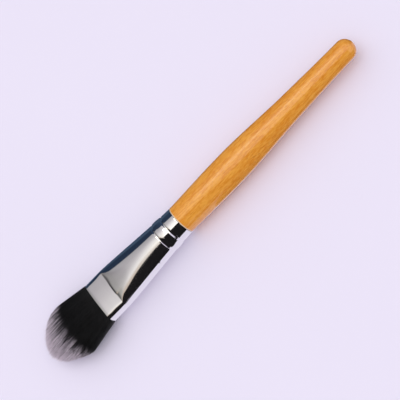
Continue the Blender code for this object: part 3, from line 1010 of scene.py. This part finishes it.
def add_lamp(name, direction, size, power):
    """A large soft lamp that faces the brush and shows in no reflection."""
    light = bpy.data.lights.new(name, "AREA")
    light.size = size
    light.energy = power
    light.color = LAMP_COLOUR
    lamp = linked(name, light)
    direction = Vector(direction).normalized()
    lamp.location = direction * LAMP_DISTANCE
    lamp.rotation_euler = direction.to_track_quat("Z", "Y").to_euler()
    lamp.visible_glossy = False


def flat_piece(name, corners, material):
    """One flat face of the stage."""
    mesh = bpy.data.meshes.new(name)
    mesh.from_pydata(corners, [], [tuple(range(len(corners)))])
    mesh.materials.append(material)
    return linked(name, mesh)


def at_height(outline, height):
    """An outline's corners, all at one height."""
    return [(x, y, height) for x, y in outline]


def add_card(name, corners, colour):
    """A glowing card that only reflections see."""
    material, graph = new_material(name)
    glow = graph.add("ShaderNodeEmission", None, {"Color": (*colour, 1), "Strength": 1.0})
    graph.node("ShaderNodeOutputMaterial", None, {"Surface": glow})
    card = flat_piece(name, corners, material)
    for kind in ("camera", "diffuse", "transmission", "volume_scatter", "shadow"):
        setattr(card, f"visible_{kind}", False)


def add_floor(colour):
    """The plain pale floor, which reflections don't see."""
    material, graph = new_material("pale_floor")
    cloud = graph.noise(graph.place(), 14.0, 2.0)
    tone = graph.blended(cloud, colour, relit(colour, 0.985))
    show_surface(graph, {"Base Color": tone, "Roughness": 0.9, "Specular IOR Level": 0.0})
    reach = FLOOR_REACH
    outline = [(-reach, -reach), (reach, -reach), (reach, reach), (-reach, reach)]
    floor = flat_piece("floor", at_height(outline, 0), material)
    floor.visible_glossy = False


# What polished metal sees round the brush: its colour by the angle from straight up towards
# the near side, its share by the direction along the brush, and the angle at which it ends
LIT_ROOM = (
    (-180, (0.050, 0.080, 0.130)),
    (-122, (0.050, 0.080, 0.130)),
    (-80, (0.018, 0.032, 0.060)),
    (-52, (0.018, 0.030, 0.058)),
    (-50, (0.380, 0.370, 0.385)),
    (-45, (0.400, 0.385, 0.402)),
    (-33, (0.456, 0.430, 0.450)),
    (-26, (0.550, 0.520, 0.535)),
    (-10, (0.790, 0.760, 0.750)),
    (12, (1.000, 0.960, 0.900)),
    (180, (1.000, 0.930, 0.850)),
)
LIT_SHARE = (
    (-1.0, 0.05), (-0.85, 0.14), (-0.75, 0.29), (-0.6, 0.47), (-0.53, 0.76), (-0.485, 1.0),
    (-0.4, 1.04), (-0.3, 1.02), (-0.18, 1.06), (-0.12, 1.24), (-0.05, 1.30), (0.05, 1.46),
    (0.2, 1.5),
)
LIT_END = (
    (-0.52, 4), (-0.47, 8), (-0.43, 11), (-0.375, 13.4), (-0.335, 17.2), (-0.305, 19.8),
    (-0.275, 23.6), (-0.25, 27), (-0.225, 30), (-0.19, 35.2),
)
CREAM_ROOM = (0.56, 0.46, 0.38)
DARK_ROOM = (0.010, 0.009, 0.010)
PALE_ROOM = (0.80, 0.75, 0.90)
BLUE_ROOM = (0.050, 0.080, 0.130)
BAND_ROOM = (2.4, 2.45, 2.05)

# Edge of the pale floor that polished metal sees, from the butt's side to the bristles' side
PALE_FLOOR_EDGE = (
    (0.160, -0.6), (-0.0095, -0.031), (-0.0165, -0.033), (-0.0215, -0.0245), (-0.0285, -0.0285),
    (-0.036, -0.031), (-0.042, -0.0372), (-0.0458, -0.045), (-0.0514, -0.060), (-0.070, -0.110),
    (-0.101, -0.158), (-0.139, -0.47), (-0.150, -0.6),
)
BLUE_FLOOR_EDGE = 0.0095

# Level strips along the handle: near and far corner, height and glow. The lacquer sees dark
# strips on both sides of it, and a light one above it
STRIPS = {
    "handle_shade": ((0.004, -0.30), (0.12, -0.0085), -CARD_DEPTH / 2, DARK_ROOM),
    "far_shade": ((0.004, 0.004), (0.12, 0.06), -CARD_DEPTH / 2, DARK_ROOM),
    "band_card": ((-0.0135, 0.0), (0.085, 0.021), 0.08, BAND_ROOM),
}

# Small dark screen across the brush's direction, which the two crimps see
SCREEN = (
    (-0.026, -0.012, 0.0045), (-0.026, -0.05, 0.0045), (-0.026, -0.05, 0.03), (-0.026, -0.012, 0.03),
)

# How far the lit room turns, and how creamy it gets, between two values of the direction's x
BUTTWARD_TURN = (-0.28, -0.08, 8)
TIPWARD_TURN = (0.50, 0.66, 30)
CREAM_STEPS = ((0.10, 0.20, 0.55), (0.30, 0.42, 0.3))

# Degrees to the lit room's end over which it turns creamy and then dark
CREAM_EDGE = (-16.0, -4.0)
DARK_EDGE = (-1.0, 1.0)

# Where the metal sees the pale floor: low beside the bristles, and past the lit room's end
LOW_ANGLES = (78, 84)
LOW_DIRECTIONS = (0.20, 0.27)
PAST_DIRECTIONS = (0.28, 0.42)


def studio_cards():
    """Corners and glow of every card that the metal and the lacquer reflect."""
    reach = CARD_REACH
    middle = [(-reach, BLUE_FLOOR_EDGE), (reach, BLUE_FLOOR_EDGE)]
    pale = [(reach, -reach), *PALE_FLOOR_EDGE, (-reach, -reach), *middle]
    blue = [*middle, (reach, reach), (-reach, reach)]
    cards = {
        "pale_card": (at_height(pale, -CARD_DEPTH), PALE_ROOM),
        "dark_card": (at_height(PALE_FLOOR_EDGE, -CARD_DEPTH), DARK_ROOM),
        "blue_card": (at_height(blue, -CARD_DEPTH), BLUE_ROOM),
    }
    for name, ((left, near), (right, far), height, glow) in STRIPS.items():
        outline = [(left, near), (right, near), (right, far), (left, far)]
        cards[name] = (at_height(outline, height), glow)
    flag = []
    for angle, span in zip(FLAG_ANGLES, (FLAG_SPAN, FLAG_SPAN[::-1])):
        y = -FLAG_DISTANCE * math.sin(angle)
        z = AXIS_HEIGHT + FLAG_DISTANCE * math.cos(angle)
        flag += [(x, y, z) for x in span]
    cards["dark_flag"] = (flag, DARK_ROOM)
    cards["dark_screen"] = (SCREEN, DARK_ROOM)
    return cards


def by_direction(graph, part, table, full):
    """A number that a table gives for one part of the direction that is looked in."""
    stops = [(place / 2 + 0.5, (value / full,) * 3) for place, value in table]
    return graph.add("ShaderNodeValToRGB", {"stops": stops}, {0: part / 2 + 0.5}) * full


def set_world(colour, strength):
    """A soft even room light, and for polished surfaces the bright and dark parts of a studio."""
    world = bpy.data.worlds.new("studio")
    bpy.context.scene.world = world
    world.use_nodes = True
    world.node_tree.nodes.clear()
    graph = Graph(world.node_tree)

    def step(value, low, high, amount):
        return graph.eased(value, low, high) * amount

    x, y, z = graph.parts(graph.add("ShaderNodeTexCoord", None, None, "Generated"))
    tipward = 0 - x
    angle = graph.maths("ARCTAN2", 0 - y, z) * math.degrees(1)
    stops = [(degrees / 360 + 0.5, tone) for degrees, tone in LIT_ROOM]
    turned = angle - step(x, *BUTTWARD_TURN) + step(tipward, *TIPWARD_TURN)
    lit = graph.add("ShaderNodeValToRGB", {"stops": stops}, {0: turned / 360 + 0.5})
    share = by_direction(graph, x, LIT_SHARE, 2)
    share = graph.vector(share, share, share)
    settings = {"data_type": "RGBA", "blend_type": "MULTIPLY"}
    lit = graph.add("ShaderNodeMix", settings, {0: 1.0, 6: lit, 7: share}, 2)
    past_end = angle - by_direction(graph, x, LIT_END, 90)
    creamy = step(tipward, *CREAM_STEPS[0]) + step(tipward, *CREAM_STEPS[1])
    lit = graph.blended(graph.eased(past_end, *CREAM_EDGE) * creamy, lit, (*CREAM_ROOM, 1))
    dark = graph.eased(past_end, *DARK_EDGE)
    seen = graph.blended(dark, lit, (*DARK_ROOM, 1))
    low = graph.eased(angle, *LOW_ANGLES) * graph.eased(tipward, *LOW_DIRECTIONS)
    sideways = dark * graph.eased(x, *PAST_DIRECTIONS)
    seen = graph.blended(graph.maths("MAXIMUM", low, sideways), seen, (*PALE_ROOM, 1))
    studio = graph.add("ShaderNodeBackground", None, {"Color": seen, "Strength": 1.0})
    soft = graph.add("ShaderNodeBackground", None, {"Color": colour, "Strength": strength})
    glossy = graph.add("ShaderNodeLightPath", None, None, "Is Glossy Ray")
    mixed = graph.add("ShaderNodeMixShader", None, {0: glossy, 1: soft, 2: studio})
    graph.node("ShaderNodeOutputWorld", None, {"Surface": mixed})


class MASKBRUSH_OT_stage(Operator):
    """Lay the pale floor, light it softly and set the camera"""

    bl_idname = "mask_brush.stage"
    bl_label = "Set Stage"

    def execute(self, context):
        sizes = context.scene.mask_brush_stage
        add_floor(sizes.floor_colour)
        for name, (corners_of_card, glow) in studio_cards().items():
            add_card(name, corners_of_card, glow)
        set_world(sizes.sky_colour, sizes.sky_strength)
        add_lamp("key", KEY_DIRECTION, sizes.lamp_size, sizes.key_power)
        add_lamp("fill", FILL_DIRECTION, sizes.lamp_size, sizes.fill_power)
        add_camera(sizes.camera_distance)
        context.scene.view_settings.view_transform = "Standard"
        return {"FINISHED"}


# Add-on

SETTINGS = {
    "mask_brush_handle": HandleSettings,
    "mask_brush_ferrule": FerruleSettings,
    "mask_brush_glue": GlueSettings,
    "mask_brush_bristles": BristleSettings,
    "mask_brush_stage": StageSettings,
}
OPERATORS = (
    MASKBRUSH_OT_handle,
    MASKBRUSH_OT_ferrule,
    MASKBRUSH_OT_glue,
    MASKBRUSH_OT_bristles,
    MASKBRUSH_OT_stage,
)


class MASKBRUSH_PT_panel(Panel):
    """The brush's pieces and their settings"""

    bl_label = "Facial Mask Brush"
    bl_idname = "MASKBRUSH_PT_panel"
    bl_space_type = "VIEW_3D"
    bl_region_type = "UI"
    bl_category = "Mask Brush"

    def draw(self, context):
        for (name, group), operator in zip(SETTINGS.items(), OPERATORS):
            box = self.layout.box()
            settings = getattr(context.scene, name)
            for key in group.__annotations__:
                box.prop(settings, key)
            box.operator(operator.bl_idname)


def register():
    for kind in (*SETTINGS.values(), *OPERATORS, MASKBRUSH_PT_panel):
        bpy.utils.register_class(kind)
    for name, group in SETTINGS.items():
        setattr(bpy.types.Scene, name, PointerProperty(type=group))


def unregister():
    for name in SETTINGS:
        delattr(bpy.types.Scene, name)
    for kind in reversed((*SETTINGS.values(), *OPERATORS, MASKBRUSH_PT_panel)):
        bpy.utils.unregister_class(kind)


def corners(box):
    """A box's corners as plain lists."""
    return [[float(part) for part in corner] for corner in box]


def main():
    """Makes every piece in order."""
    register()
    bpy.ops.mask_brush.handle()
    bpy.ops.mask_brush.ferrule()
    bpy.ops.mask_brush.glue()
    bpy.ops.mask_brush.bristles()
    bpy.ops.mask_brush.stage()
    bpy.context.view_layer.update()


if __name__ == "__main__":
    main()
